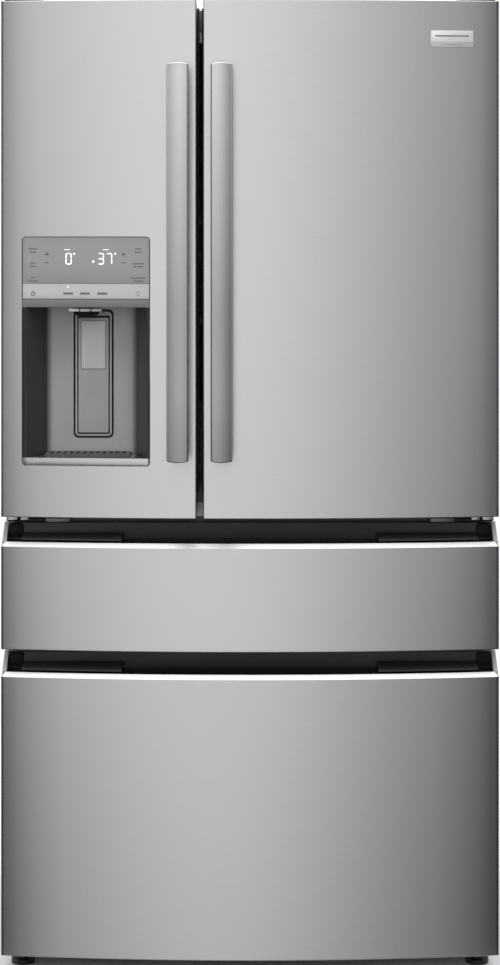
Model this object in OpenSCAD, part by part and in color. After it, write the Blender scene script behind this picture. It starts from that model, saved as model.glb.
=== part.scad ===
// Counter-depth French door refrigerator, millimetres.
// +Z is up, the doors face -Y, and the origin is at floor level in the middle of the overall box.
// The fronts of both doors and both drawers share one shallow vertical-axis arc.

/* [Overall] */
// Width over the door and drawer fronts
front_w = 910; // [904:1:912]
// Width of the cabinet
case_w = 900; // [896:1:902]
// Depth of the cabinet without doors
case_d = 620; // [618:1:640]
// Thickness of the doors at their outer edges
door_t = 68; // [66:1:70]
// How far the fronts bow forward in the middle
bow = 32; // [28:1:36]
// Space between cabinet and doors, filled by the gaskets
seal_gap = 10; // [9:1:11]
// How far the handles stand out from the crown of the doors
handle_out = 55; // [50:1:60]

/* [Levels] */
// Bottom of the doors
door_z0 = 836; // [835:1:837]
// Top of the doors
door_z1 = 1778; // [1776:1:1780]
// Top of the cabinet
case_z1 = 1768; // [1767:1:1769]
// Bottom edge of the middle drawer front
mid_z0 = 594; // [593:1:595]
// Top of the middle drawer's face, below its bevel
mid_face_z = 782; // [781:1:783]
// Bottom edge of the freezer drawer front
frz_z0 = 35; // [34:1:37]
// Top of the freezer drawer's face, below its bevel
frz_face_z = 544; // [542:1:545]

/* [Doors] */
// Right edge of the narrow left door
left_edge = -97.7; // [-98.5:0.1:-97]
// Left edge of the wide right door
right_edge = -84.5; // [-85:0.1:-84]
// Height of the handles
handle_h = 717; // [700:1:730]
// Bottom of the handles
handle_z0 = 943; // [940:1:950]
// Width of the handles
handle_w = 39; // [34:0.5:40]

/* [Dispenser] */
// Left side of the dispenser opening
disp_x0 = -415.5; // [-416:0.5:-415]
// Right side of the dispenser opening
disp_x1 = -182; // [-183:0.5:-181]
// Bottom of the dispenser opening
disp_z0 = 931; // [928:1:932]
// Top of the dispenser opening
disp_z1 = 1347.5; // [1344:0.5:1349]

/* [Hidden] */

$fn = 48;
// facets of the large arc in previews
arc_fn = 256;

// depth planes, from the back of the cabinet to the handles
y_back = (case_d + seal_gap + door_t + bow + handle_out) / 2;
y_case = y_back - case_d;
y_door = y_case - seal_gap;
y_edge = y_door - door_t;
y_crown = y_edge - bow;
y_handle = y_crown - handle_out;

// the shared arc of the fronts
hw = front_w / 2;
arc_r = (hw * hw + bow * bow) / (2 * bow);
y_arc = y_crown + arc_r;

// cabinet
cw = case_w / 2;
wall = 48;
lw = cw - wall;
liner_t = 2.5;
sheet = 1;
case_z0 = 46;
fresh_z = [850, 1728];
mid_z = [612, 800];
frz_z = [100, 556];
liner_y1 = 332;
step_y = 150;
step_z = 330;
flange = 42;
machine_y0 = 190;
machine_z1 = 290;

// pieces that are repeated on both sides or both drawers
pivot_x = hw - 20;
pivot_y = y_edge + 30;
pin_r = 6;
bore_play = 0.05;
cap_t = 14;
shoulder = 38;
bevel = 8;
grip_y = y_edge + 52;
grip_x = 446;
scoop_x = 222;
tub_x = 372;
gasket_w = 14;
gasket_t = seal_gap - 0.5;
gasket_x = pivot_x - 4;

// mullion hinge line on the left door
mull_x = -125;
mull_y = -220;
mull_z = [886, 1704];
mull_fold = 84;
guide_h = 32;

// ---------- helpers ----------
module slab(lo, hi) {
    translate(lo)
        cube(hi - lo);
}

module both_sides() {
    children();
    mirror([1, 0, 0])
        children();
}

// Block between two x values whose front follows the shared arc, with an optional 45 degree top bevel
module bowed(x0, x1, y1, z0, z1, inset = 0, cut = 0) {
    r = arc_r - inset;
    intersection() {
        slab([x0, y_crown - 1, z0 - 1], [x1, y1, z1 + 1]);
        translate([0, y_arc, 0])
            rotate_extrude($fn = arc_fn)
                polygon([[0, z0], [r, z0], [r, z1 - cut], [r - cut, z1], [0, z1]]);
    }
}

// Rectangular ring standing on the door or drawer back, for a gasket
module seal_ring(x0, x1, z0, z1) {
    difference() {
        slab([x0, y_door, z0], [x1, y_door + gasket_t, z1]);
        slab([x0 + gasket_w, y_door - 1, z0 + gasket_w], [x1 - gasket_w, y_case, z1 - gasket_w]);
        slab([x0 + 5, y_door + 3, z0 + 5], [x0 + gasket_w - 5, y_door + 7, z1 - 5]);
        slab([x1 - gasket_w + 5, y_door + 3, z0 + 5], [x1 - 5, y_door + 7, z1 - 5]);
    }
}

// Open-topped box with walls of thickness t
module open_box(lo, hi, t = 3) {
    difference() {
        slab(lo, hi);
        slab(lo + [t, t, t], hi + [-t, -t, t]);
    }
}

// Hollow lying box, open towards the front
module front_open_box(lo, hi, t) {
    difference() {
        slab(lo - [t, 0, t], hi + [t, t, t]);
        slab(lo - [0, 1, 0], hi);
    }
}

// ---------- cabinet ----------
module outer_case() {
    rails = [[case_z0, frz_z[0]], [frz_z[1], mid_z[0]], [mid_z[1], fresh_z[0]], [fresh_z[1], case_z1]];
    color("dimgray") {
        both_sides() {
            slab([cw - sheet, y_case, case_z0], [cw, y_back - sheet, case_z1]);
            slab([cw - flange, y_case, case_z0], [cw - sheet / 2, y_case + sheet, case_z1]);
        }
        slab([-cw, y_case, case_z1 - sheet], [cw, y_back - sheet, case_z1]);
        for (r = rails)
            slab([-cw + sheet, y_case, r[0]], [cw - sheet, y_case + sheet, r[1]]);
    }
}

module rear_panel() {
    color("lightgray") {
        slab([-cw, y_back - sheet, machine_z1], [cw, y_back, case_z1]);
        for (z = [500:300:1700])
            slab([-cw + 60, y_back - sheet - 0.4, z], [cw - 60, y_back - sheet, z + 20]);
    }
}

// Foamed-in insulation, one block to each wall
module cabinet_foam() {
    y0 = y_case + 1.1;
    y1 = y_back - 1.5;
    yb = liner_y1 + liner_t + 0.1;
    xi = lw + liner_t;
    xo = cw - sheet - 0.1;
    color("khaki") {
        both_sides() {
            slab([xi, y0, frz_z[0]], [xo, machine_y0, machine_z1]);
            slab([xi, y0, machine_z1 - 0.1], [xo, y1, case_z1 - 1.1]);
        }
        slab([-xi + 0.1, y0, fresh_z[1] + liner_t], [xi - 0.1, y1, case_z1 - 1.1]);
        slab([-xi + 0.1, yb, fresh_z[0] - liner_t + 0.1], [xi - 0.1, y1, fresh_z[1] + liner_t - 0.1]);
        slab([-xi + 0.1, y0, mid_z[1] + liner_t], [xi - 0.1, y1, fresh_z[0] - liner_t]);
        slab([-xi + 0.1, yb, mid_z[0] - liner_t + 0.1], [xi - 0.1, y1, mid_z[1] + liner_t - 0.1]);
        slab([-xi + 0.1, y0, frz_z[1] + liner_t], [xi - 0.1, y1, mid_z[0] - liner_t]);
        slab([-xi + 0.1, yb, step_z + 0.1], [xi - 0.1, y1, frz_z[1] + liner_t - 0.1]);
        slab([-xi + 0.1, step_y + 0.1, machine_z1], [xi - 0.1, y1, step_z - liner_t]);
        slab([-xi + 0.1, step_y + 0.1, frz_z[0] - 0.1], [xi - 0.1, machine_y0, machine_z1 - 0.1]);
        slab([-xi + 0.1, y0, 52], [xi - 0.1, machine_y0, frz_z[0] - liner_t]);
    }
}

// The moulded block at each end of the doorway guides the flip mullion
module fresh_food_liner() {
    color("whitesmoke") {
        front_open_box([-lw, y_case + 1.1, fresh_z[0]], [lw, liner_y1, fresh_z[1]], liner_t);
        for (z = [fresh_z[0], fresh_z[1] - guide_h + 12])
            slab([-104, y_case + 1.2, z], [-80, y_case + 24, z + guide_h - 12]);
        for (z = [1112, 1312, 1512])
            slab([lw - 4, -60, z - 4], [lw, 300, z]);
        for (z = [1112, 1312])
            slab([-lw, -60, z - 4], [-lw + 4, 300, z]);
    }
}

// Freezer side profile in depth and height, with the step over the machine compartment
module freezer_profile(g) {
    polygon([[y_case - (g > 0 ? 0 : 1) + 1.1, frz_z[0] - g], [step_y + g - liner_t, frz_z[0] - g],
             [step_y + g - liner_t, step_z - g], [liner_y1 + g, step_z - g],
             [liner_y1 + g, frz_z[1] + g], [y_case - (g > 0 ? 0 : 1) + 1.1, frz_z[1] + g]]);
}

module freezer_prism(half, g) {
    translate([-half, 0, 0])
        rotate([90, 0, 90])
            linear_extrude(2 * half)
                freezer_profile(g);
}

module drawer_liners() {
    color("whitesmoke") {
        front_open_box([-lw, y_case + 1.1, mid_z[0]], [lw, liner_y1, mid_z[1]], liner_t);
        difference() {
            freezer_prism(lw + liner_t, liner_t);
            freezer_prism(lw, 0);
        }
    }
}

// ---------- base and machinery ----------
leg_x = 422;
leg_y = y_case - 1.5;
leg_r = 21.5;
stem_r = 5;
roller_x = 410;
roller_y = 330;
roller_r = 20;
axle_r = 4;

module base_frame() {
    color("dimgray")
        difference() {
            union() {
                slab([-cw + 1.1, y_case + 1.1, 46], [cw - 1.1, y_back - 5, 50]);
                both_sides() {
                    slab([cw - 5, machine_y0 + 1, 49], [cw - 1.1, y_back - 5, machine_z1 - 1]);
                    slab([leg_x - 22, y_case - 20, 16], [leg_x + 22, y_case + 45, 34]);
                    slab([leg_x - 22, y_case + 2, 33], [leg_x + 22, y_case + 45, 47]);
                    for (x = [roller_x - 18, roller_x + 15])
                        slab([x, roller_y - 16, 12], [x + 3, roller_y + 16, 47]);
                }
                slab([-cw + 60, y_case + 28, 14], [cw - 60, y_case + 31, 47]);
            }
            both_sides() {
                translate([leg_x, leg_y, 10])
                    cylinder(r = stem_r + bore_play, h = 30);
                translate([0, roller_y, roller_r])
                    rotate([0, 90, 0])
                        cylinder(r = axle_r + bore_play, h = cw);
            }
            for (x = [-360:40:340])
                slab([x, y_case + 20, 20], [x + 20, y_case + 40, 40]);
        }
}

module machine_cover() {
    color("silver")
        difference() {
            slab([-cw + 2, y_back - 4.5, 51], [300, y_back - 2, machine_z1 - 1]);
            for (i = [0:10])
                for (x = [-400, -60])
                    slab([x, y_back - 6, 80 + i * 18], [x + 260, y_back, 88 + i * 18]);
        }
}

comp_at = [-230, 288, 60];

module compressor() {
    color("black")
        translate(comp_at) {
            translate([0, 0, 45])
                cylinder(r = 78, h = 70);
            translate([0, 0, 45])
                intersection() {
                    sphere(r = 78);
                    slab([-80, -80, -42], [80, 80, 1]);
                }
            translate([0, 0, 114])
                intersection() {
                    sphere(r = 78);
                    slab([-80, -80, -1], [80, 80, 60]);
                }
            slab([-95, -70, -2], [95, 70, 6]);
            for (x = [-82, 82])
                for (y = [-56, 56])
                    translate([x, y, -10])
                        cylinder(r = 12, h = 9);
            translate([70, 0, 60])
                rotate([0, 90, 0])
                    cylinder(r = 5, h = 26);
            slab([-30, -98, 50], [30, -70, 95]);
        }
}

coil_rows = 7;
coil_pitch = 26;

// One flat layer of serpentine tube, runs along x
module serpentine(half, r, pitch, rows) {
    for (i = [0:rows - 1])
        translate([-half, 0, i * pitch])
            rotate([0, 90, 0])
                cylinder(r = r, h = 2 * half);
    for (i = [0:rows - 2])
        translate([i % 2 == 0 ? half : -half, 0, (i + 0.5) * pitch])
            rotate([90, 0, 0])
                rotate_extrude(angle = 180, start = i % 2 == 0 ? -90 : 90)
                    translate([pitch / 2, 0])
                        circle(r = r);
}

module condenser_coil() {
    color("black") {
        for (y = [250, 290, 330])
            translate([215, y, 80])
                serpentine(75, 4, coil_pitch, coil_rows);
        for (x = [160, 215, 270])
            for (z = [51, 242])
                slab([x - 2, 240, z], [x + 2, 340, z + (z < 60 ? 24 : 10)]);
    }
}

fan_at = [-10, 290, 160];
fan_r = 70;

module fan_shroud() {
    color("gray")
        translate(fan_at)
            rotate([0, 90, 0]) {
                difference() {
                    translate([-88, -88, -12])
                        cube([176, 176, 24]);
                    translate([0, 0, -13])
                        cylinder(r = fan_r + 6, h = 26);
                }
                difference() {
                    translate([-8, -80, 14 - 30])
                        cube([16, 160, 5]);
                    translate([0, 0, -20])
                        cylinder(r = 6, h = 20);
                }
                translate([0, 0, -48])
                    cylinder(r = 26, h = 33);
                translate([0, 0, -16])
                    cylinder(r = 3, h = 30);
            }
}

module condenser_fan() {
    color("white")
        translate(fan_at)
            rotate([0, 90, 0])
                difference() {
                    union() {
                        translate([0, 0, -6])
                            cylinder(r = 18, h = 16);
                        for (a = [0:72:288])
                            rotate([0, 0, a])
                                translate([14, 0, 2])
                                    rotate([28, 0, 0])
                                        translate([0, -16, -1])
                                            cube([fan_r - 16, 32, 2]);
                    }
                    translate([0, 0, -10])
                        cylinder(r = 3 + bore_play, h = 30);
                }
}

module evaporator_coil() {
    color("silver") {
        for (y = [292, 316])
            translate([0, y, 362])
                serpentine(300, 4, 28, 6);
        for (x = [-280:40:280])
            slab([x - 0.6, 284, 350], [x + 0.6, 326, 514]);
    }
}

duct_y = 306;

module air_ducts() {
    color("gainsboro") {
        difference() {
            slab([-lw + 1, 262, step_z + 2], [lw - 1, 266, frz_z[1] - 2]);
            for (i = [0:5])
                for (x = [-300, 60])
                    slab([x, 260, 380 + i * 24], [x + 240, 268, 388 + i * 24]);
        }
        difference() {
            slab([-80, duct_y, 1040], [80, liner_y1 - 0.1, 1700]);
            slab([-74, duct_y + 6, 1046], [74, liner_y1 + 1, 1694]);
            for (z = [1080:90:1640])
                for (x = [-72, 22])
                    slab([x, duct_y - 6, z], [x + 50, duct_y + 14, z + 10]);
        }
    }
}

module led_lights() {
    color("ivory") {
        slab([20, -60, fresh_z[1] - 7], [300, 10, fresh_z[1] - 0.1]);
        both_sides()
            slab([lw - 3, -95, 1060], [lw - 0.1, -83, 1460]);
    }
}

// Half-width shelves: side, height
SHELVES = [[-1, 1180], [-1, 1370], [1, 1130], [1, 1330], [1, 1530]];
shelf_y0 = -90;
shelf_y1 = 296;
cover_z = 1016;

module shelf_ring(x0, x1, z) {
    difference() {
        slab([x0, shelf_y0, z], [x1, shelf_y1, z + 12]);
        slab([x0 + 16, shelf_y0 + 16, z - 1], [x1 - 16, shelf_y1 - 16, z + 13]);
        slab([x0 + 10, shelf_y0 + 10, z + 6], [x1 - 10, shelf_y1 - 10, z + 13]);
    }
}

module shelf_frames() {
    color("gainsboro") {
        for (s = SHELVES) {
            x0 = s[0] < 0 ? -lw + 5 : 6;
            x1 = s[0] < 0 ? -6 : lw - 5;
            shelf_ring(x0, x1, s[1]);
            for (x = [x0, x1 - 4])
                slab([x, shelf_y1 - 60, s[1] - 26], [x + 4, abs(x) < 12 ? 299 : 322, s[1] + 0.5]);
        }
        for (x = [-lw + 4, lw - 16])
            slab([x, 322.2, 1036], [x + 12, liner_y1 - 0.1, 1600]);
        for (x = [-18, 6])
            slab([x, 299.2, 1046], [x + 12, duct_y - 0.1, 1600]);
        shelf_ring(-lw + 1, lw - 1, cover_z);
        slab([-3, shelf_y0 + 4, fresh_z[0] + 0.2], [3, shelf_y1, cover_z - 0.2]);
    }
}

module shelf_glass() {
    color("lightcyan", 0.4) {
        for (s = SHELVES) {
            x0 = s[0] < 0 ? -lw + 5 : 6;
            x1 = s[0] < 0 ? -6 : lw - 5;
            slab([x0 + 10.3, shelf_y0 + 10.3, s[1] + 6.1], [x1 - 10.3, shelf_y1 - 10.3, s[1] + 10.1]);
        }
        slab([-lw + 11.3, shelf_y0 + 10.3, cover_z + 6.1], [lw - 11.3, shelf_y1 - 10.3, cover_z + 10.1]);
    }
}

filter_x = -150;
filter_z = 1690;
filter_r = 26;
neck_r = 18;

module ice_maker() {
    lo = [-lw + 1, -88, 1500];
    hi = [-200, 318, fresh_z[1] - 1];
    color("white") {
        difference() {
            slab(lo, hi);
            slab(lo + [4, -1, 4], hi - [4, 4, 4]);
        }
        open_box(lo + [10, 6, 8], [hi[0] - 10, 250, 1606]);
        difference() {
            slab([-380, 20, 1650], [-250, 240, 1700]);
            for (y = [30:30:210])
                slab([-374, y, 1662], [-256, y + 24, 1702]);
        }
        slab([-380, 242, 1640], [-250, 300, 1710]);
        difference() {
            slab([filter_x - 36, 184, filter_z - 34], [filter_x + 36, 300, fresh_z[1] - 0.5]);
            translate([filter_x, 183, filter_z])
                rotate([-90, 0, 0])
                    cylinder(r = neck_r + bore_play, h = 40);
        }
    }
}

module water_filter() {
    color("lightgray")
        translate([filter_x, 0, filter_z])
            rotate([-90, 0, 0]) {
                translate([0, 0, -70])
                    cylinder(r = filter_r, h = 250);
                translate([0, 0, 179])
                    cylinder(r = neck_r, h = 36);
                translate([-20, -5, -88])
                    cube([40, 10, 19]);
            }
}

inlet_r = 5.55;

module water_valve() {
    color("ivory") {
        slab([340, 350, 130], [420, 366, 200]);
        slab([355, 330, 145], [405, 350, 185]);
        translate([380, 360, 165])
            rotate([-90, 0, 0])
                cylinder(r = inlet_r, h = 30);
    }
}

gland_r = 5;

module cord_gland() {
    color("black")
        translate([340, y_back - 25, 90])
            rotate([-90, 0, 0])
                difference() {
                    union() {
                        translate([-20, -20, -4])
                            cube([40, 40, 6]);
                        cylinder(r = 11, h = 18);
                    }
                    translate([0, 0, -5])
                        cylinder(r = gland_r, h = 30);
                }
}

// ---------- hinges ----------
module top_hinge() {
    translate([pivot_x, pivot_y, 0]) {
        translate([0, 0, door_z1 - 13])
            cylinder(r = pin_r, h = 18);
        translate([0, 0, door_z1 + 2])
            cylinder(r = 13, h = 4);
    }
    slab([pivot_x - 40, pivot_y, door_z1 + 2], [pivot_x + 8, y_case + 6, door_z1 + 6]);
    slab([pivot_x - 40, y_case + 2, case_z1 + 0.1], [pivot_x + 8, y_case + 6, door_z1 + 4]);
    difference() {
        slab([pivot_x - 40, y_case + 2, case_z1 + 0.1], [pivot_x + 8, y_case + 100, case_z1 + 4]);
        for (y = [30, 75])
            translate([pivot_x - 16, y_case + y, case_z1 - 1])
                cylinder(r = 3, h = 8);
    }
}

// The flat arm beside the pin stops a sagging door
module mid_hinge() {
    translate([pivot_x, pivot_y, 0]) {
        translate([0, 0, door_z0 - 8])
            cylinder(r = pin_r, h = 21);
        translate([0, 0, door_z0 - 10])
            cylinder(r = 13, h = 6);
    }
    slab([pivot_x - 58, pivot_y - 6, door_z0 - 10], [pivot_x + 8, y_case - 0.1, door_z0 - 6]);
    slab([pivot_x - 106, y_case - 3, door_z0 - 14], [pivot_x + 8, y_case - 0.1, door_z0 - 2]);
    slab([pivot_x - 106, y_edge + 6, door_z0 - 8], [pivot_x - 61, y_case - 2.9, door_z0 - 2]);
}

module door_hinges() {
    color("silver")
        both_sides() {
            top_hinge();
            mid_hinge();
        }
}

module hinge_covers() {
    color("dimgray")
        both_sides()
            difference() {
                union() {
                    slab([pivot_x - 50, y_case + 0.2, case_z1 + 0.1], [cw - 1, y_case + 112, 1790]);
                    slab([pivot_x - 50, pivot_y - 18, door_z1 + 1.2], [cw - 1, y_case + 2, 1790]);
                }
                slab([pivot_x - 46, pivot_y - 14.5, case_z1 - 1], [pivot_x + 14, y_case + 108, 1787]);
            }
}

// ---------- drawer slides ----------
// Telescopic slides: y ends, height of the middle line
mid_slide = [-214, 322, 700];
frz_slide = [-214, 250, 405];

// Channel of one slide member, open towards the drawer
module slide_member(x0, x1, s, half) {
    difference() {
        slab([x0, s[0], s[2] - half], [x1, s[1], s[2] + half]);
        slab([x0 - 1, s[0] - 1, s[2] - half + 3], [x1 - 2, s[1] + 1, s[2] + half - 3]);
    }
}

module fixed_slides() {
    color("silver")
        both_sides() {
            slide_member(392, lw - 0.1, mid_slide, 20);
            slide_member(392, lw - 0.1, frz_slide, 20);
        }
}

module middle_slide_members() {
    color("silver")
        both_sides()
            slab([382, mid_slide[0] + 6, mid_slide[2] - 15], [391.5, mid_slide[1] - 4, mid_slide[2] + 15]);
}

module freezer_slide_members() {
    color("silver")
        both_sides()
            slab([382, frz_slide[0] + 6, frz_slide[2] - 15], [391.5, frz_slide[1] - 4, frz_slide[2] + 15]);
}

// ---------- doors ----------
// Steel wrap: bowed front and the two side returns
module door_skin(x0, x1) {
    difference() {
        bowed(x0, x1, y_door - 3, door_z0, door_z1);
        bowed(x0 + sheet, x1 - sheet, y_door, door_z0 - 2, door_z1 + 2, sheet);
    }
}

module dispenser_cut(grow, depth_y) {
    slab([disp_x0 - grow, y_handle, disp_z0 - grow], [disp_x1 + grow, depth_y, disp_z1 + grow]);
}

module left_door_skin() {
    color("silver")
        difference() {
            door_skin(-hw, left_edge);
            dispenser_cut(0, y_door - 15);
        }
}

module right_door_skin() {
    color("silver")
        door_skin(right_edge, hw);
}

plug_z = [884, 1700];
plug_y = -202;
dike_y = -150;
disp_back = -232;

// Insulated inner door: foamed core, plug behind the gasket, and ribs that carry the bins
module inner_door(x0, x1, plug_x0, plug_x1, dike_z0) {
    fit = sheet + 0.1;
    bowed(x0 + fit, x1 - fit, y_door, door_z0 + cap_t + 0.1, door_z1 - cap_t - 0.1, fit);
    slab([plug_x0, y_door - 1, plug_z[0]], [plug_x1, plug_y, plug_z[1]]);
    for (x = [plug_x0, plug_x1 - 12])
        slab([x, plug_y - 1, dike_z0], [x + 12, dike_y, plug_z[1]]);
}

left_plug = [-385, -148];
right_plug = [-45, 385];

module left_door_liner() {
    color("white") {
        difference() {
            union() {
                inner_door(-hw, left_edge, left_plug[0], left_plug[1], 1350);
                for (z = [868, 1714])
                    slab([mull_x - 7, y_door - 1, z], [mull_x + 5, mull_y + 7, z + 14]);
                translate([mull_x, mull_y, 870])
                    cylinder(r = 3, h = 28);
                translate([mull_x, mull_y, 1692])
                    cylinder(r = 3, h = 34);
            }
            dispenser_cut(0.1, disp_back + 0.4);
        }
    }
}

module right_door_liner() {
    color("white")
        inner_door(right_edge, hw, right_plug[0], right_plug[1], 1010);
}

// Magnetic gasket with a soft lip along the door's free edge
module left_door_gasket() {
    color("gray") {
        seal_ring(-gasket_x, -102, 846, 1748);
        slab([left_edge + 0.1, y_door - 10, 876], [left_edge + 4, y_door - 4, 1770]);
    }
}

module right_door_gasket() {
    color("gray") {
        seal_ring(-80, gasket_x, 846, 1748);
        slab([right_edge - 4.5, y_door - 10, 876], [right_edge - 0.1, y_door - 4, 1770]);
    }
}

module door_caps(x0, x1, side) {
    fit = sheet + 0.1;
    difference() {
        union() {
            bowed(x0 + fit, x1 - fit, y_door, door_z0, door_z0 + cap_t, fit);
            bowed(x0 + fit, x1 - fit, y_door, door_z1 - cap_t, door_z1, fit);
        }
        translate([side * pivot_x, pivot_y, door_z0 - 0.5])
            cylinder(r = pin_r + bore_play, h = cap_t);
        translate([side * pivot_x, pivot_y, door_z1 - cap_t + 0.5])
            cylinder(r = pin_r + bore_play, h = cap_t);
    }
}

module left_door_caps() {
    color("lightgray")
        door_caps(-hw, left_edge, -1);
}

module right_door_caps() {
    color("lightgray")
        door_caps(right_edge, hw, 1);
}

bar_t = 17;
post_r = 10;
post_in = 46;

// Bar handle: shallow crowned section on two round posts that meet the bowed door
module bar_handle(x) {
    crown_r = 32;
    translate([x, y_handle, handle_z0])
        linear_extrude(handle_h)
            intersection() {
                translate([-handle_w / 2, 0])
                    square([handle_w, bar_t]);
                translate([0, crown_r])
                    circle(r = crown_r, $fn = 96);
            }
    difference() {
        for (z = [handle_z0 + post_in, handle_z0 + handle_h - post_in])
            translate([x, y_handle + bar_t - 1, z])
                rotate([-90, 0, 0])
                    cylinder(r = post_r, h = bow + handle_out);
        bowed(-hw, hw, y_door, door_z0, door_z1, -0.05);
    }
}

module left_handle() {
    color("silver")
        bar_handle(-130);
}

module right_handle() {
    color("silver")
        bar_handle(-51);
}

module door_bin(x0, x1, z, h) {
    open_box([x0, plug_y + 0.1, z], [x1, -128, z + h]);
}

module left_door_bins() {
    color("lightcyan")
        for (z = [1366, 1540])
            door_bin(left_plug[0] + 12.1, left_plug[1] - 12.1, z, 92);
}

dairy_x = [50, 350];
dairy_z = [1560, 1684];
lid_y = -128;
lid_pin_r = 2.5;

module right_door_bins() {
    color("lightcyan") {
        for (z = [1030, 1205, 1380])
            door_bin(right_plug[0] + 12.1, right_plug[1] - 12.1, z, 92);
        difference() {
            slab([dairy_x[0], plug_y + 0.1, dairy_z[0]], [dairy_x[1], -122, dairy_z[1]]);
            slab([dairy_x[0] + 3, plug_y + 3, dairy_z[0] + 3], [dairy_x[1] - 3, -120, dairy_z[1] - 3]);
            translate([dairy_x[0] - 1, lid_y, dairy_z[1] - 12])
                rotate([0, 90, 0])
                    cylinder(r = lid_pin_r + bore_play, h = dairy_x[1] - dairy_x[0] + 2);
        }
    }
}

module dairy_lid() {
    color("lightcyan") {
        slab([dairy_x[0] + 4, lid_y - 2, dairy_z[0] + 5], [dairy_x[1] - 4, lid_y + 1, dairy_z[1] - 12]);
        translate([dairy_x[0] + 0.5, lid_y, dairy_z[1] - 12])
            rotate([0, 90, 0])
                cylinder(r = lid_pin_r, h = dairy_x[1] - dairy_x[0] - 1);
        slab([dairy_x[0] + 120, lid_y, dairy_z[0] + 12], [dairy_x[1] - 120, lid_y + 9, dairy_z[0] + 16]);
    }
}

module badge_plate() {
    color("white")
        difference() {
            bowed(329, 407, y_edge + 5, 1693, 1723, -1.2);
            bowed(320, 420, y_edge + 6, 1680, 1740, -0.05);
        }
}

// ---------- dispenser ----------
panel_z = 1234;
panel_t = 8;
cave_z = [945, 1219];
cave_y = -254;
recess_x = [-326, -252];
recess_z = [976, 1212];
paddle_x = [-317, -261];
paddle_z = [986, 1200];
paddle_pivot = [-256, 1196];
nozzle_at = [-300, -292];

module dispenser_housing() {
    color("dimgray")
        difference() {
            union() {
                difference() {
                    bowed(disp_x0 + 0.2, disp_x1 - 0.2, disp_back, disp_z0 + 0.2, disp_z1 - 0.2, 0.3);
                    difference() {
                        slab([disp_x0, y_handle, panel_z], [disp_x1, disp_back - 20, disp_z1]);
                        bowed(disp_x0, disp_x1, y_door, panel_z - 1, disp_z1 + 1, panel_t + 0.4);
                    }
                    translate([0, 0, cave_z[0]])
                        linear_extrude(cave_z[1] - cave_z[0])
                            polygon([[disp_x0 + 6, y_handle], [disp_x1 - 6, y_handle], [disp_x1 - 6, -319],
                                     [-217, cave_y], [-376, cave_y], [disp_x0 + 6, -315]]);
                }
                translate([nozzle_at[0], nozzle_at[1], cave_z[1] - 14])
                    cylinder(r = 24, h = 16);
            }
            translate([nozzle_at[0], nozzle_at[1], cave_z[1] - 15])
                cylinder(r = 17, h = 30);
            slab([recess_x[0], cave_y - 1, recess_z[0]], [recess_x[1], disp_back - 2, recess_z[1]]);
        }
}

module dispenser_panel() {
    color("gray")
        difference() {
            bowed(disp_x0 + 0.8, disp_x1 - 0.8, y_door, panel_z + 0.6, disp_z1 - 0.8, 0.4);
            bowed(disp_x0, disp_x1, y_door + 1, panel_z, disp_z1, panel_t);
        }
}

module dispenser_paddle() {
    color("silver") {
        slab([paddle_x[0], paddle_pivot[0] - 2.5, paddle_z[0]],
             [paddle_x[1], paddle_pivot[0] + 2.5, paddle_z[1] - 4]);
        translate([paddle_x[0], paddle_pivot[0], paddle_pivot[1]])
            rotate([0, 90, 0])
                cylinder(r = 3, h = paddle_x[1] - paddle_x[0]);
        slab([paddle_x[0] + 6, paddle_pivot[0] - 4, 1105], [paddle_x[1] - 6, paddle_pivot[0], 1188]);
    }
}

module drip_tray() {
    color("black")
        difference() {
            slab([-374, -312, cave_z[0] + 0.4], [-219, cave_y - 4, cave_z[0] + 7]);
            for (x = [-366:12:-234])
                slab([x, -306, cave_z[0] + 2.4], [x + 7, cave_y - 10, cave_z[0] + 8]);
        }
}

// Flip mullion, kept folded against the inner edge of the left door
module mullion_bar() {
    color("gray")
        translate([mull_x, mull_y, mull_z[0]])
            rotate([0, 0, mull_fold])
                difference() {
                    linear_extrude(mull_z[1] - mull_z[0])
                        union() {
                            circle(r = 7);
                            translate([0, -7])
                                square([64, 18]);
                        }
                    for (z = [-1, mull_z[1] - mull_z[0] - 19])
                        translate([0, 0, z])
                            cylinder(r = 3 + bore_play, h = 20);
                }
}

// ---------- drawers ----------
// Steel face with bevelled top and side returns
module drawer_face(z0, face_z) {
    difference() {
        bowed(-hw, hw, y_door - 3, z0, face_z + bevel, 0, bevel);
        bowed(-hw + sheet, hw - sheet, y_door, z0 - 2, face_z + bevel - sheet, sheet, bevel);
        bowed(-hw + sheet, hw - sheet, y_door, face_z, face_z + bevel + 1, bevel + 3);
    }
}

// Pocket that the hand reaches into, behind the top edge
module grip_pocket(face_z, grow, drop) {
    half = scoop_x + grow;
    bowed(-half, half, grip_y + grow, face_z - drop - grow, face_z + 40, bevel + 8 - grow);
}

module drawer_core(z0, face_z) {
    fit = sheet + 0.1;
    top = face_z + shoulder;
    difference() {
        union() {
            bowed(-hw + fit, hw - fit, y_door, z0, face_z + 3, fit, 4);
            slab([-grip_x, grip_y + 4.1, face_z], [grip_x, y_door, top - 1]);
            both_sides()
                translate([grip_x + 0.2, 0, 0])
                    rotate([90, 0, 90])
                        linear_extrude(hw - grip_x - sheet - 0.3)
                            polygon([[y_edge + bevel + 4, face_z + 2], [y_door, face_z + 2],
                                     [y_door, top], [grip_y + 4, top],
                                     [y_edge + bevel + 4, face_z + bevel]]);
        }
        grip_pocket(face_z, 3.2, 28);
    }
}

// Black pocket grip: rear wall, ledge under the bevel, and the scoop
module drawer_grip(face_z) {
    top = face_z + shoulder;
    difference() {
        union() {
            bowed(-grip_x, grip_x, grip_y + 1, face_z + 3.1, face_z + bevel - 1.5, bevel + 3.2);
            slab([-grip_x, grip_y, face_z + 3.1], [grip_x, grip_y + 4, top - 1]);
            grip_pocket_shell(face_z);
        }
        grip_pocket(face_z, 0, 28);
    }
}

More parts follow.
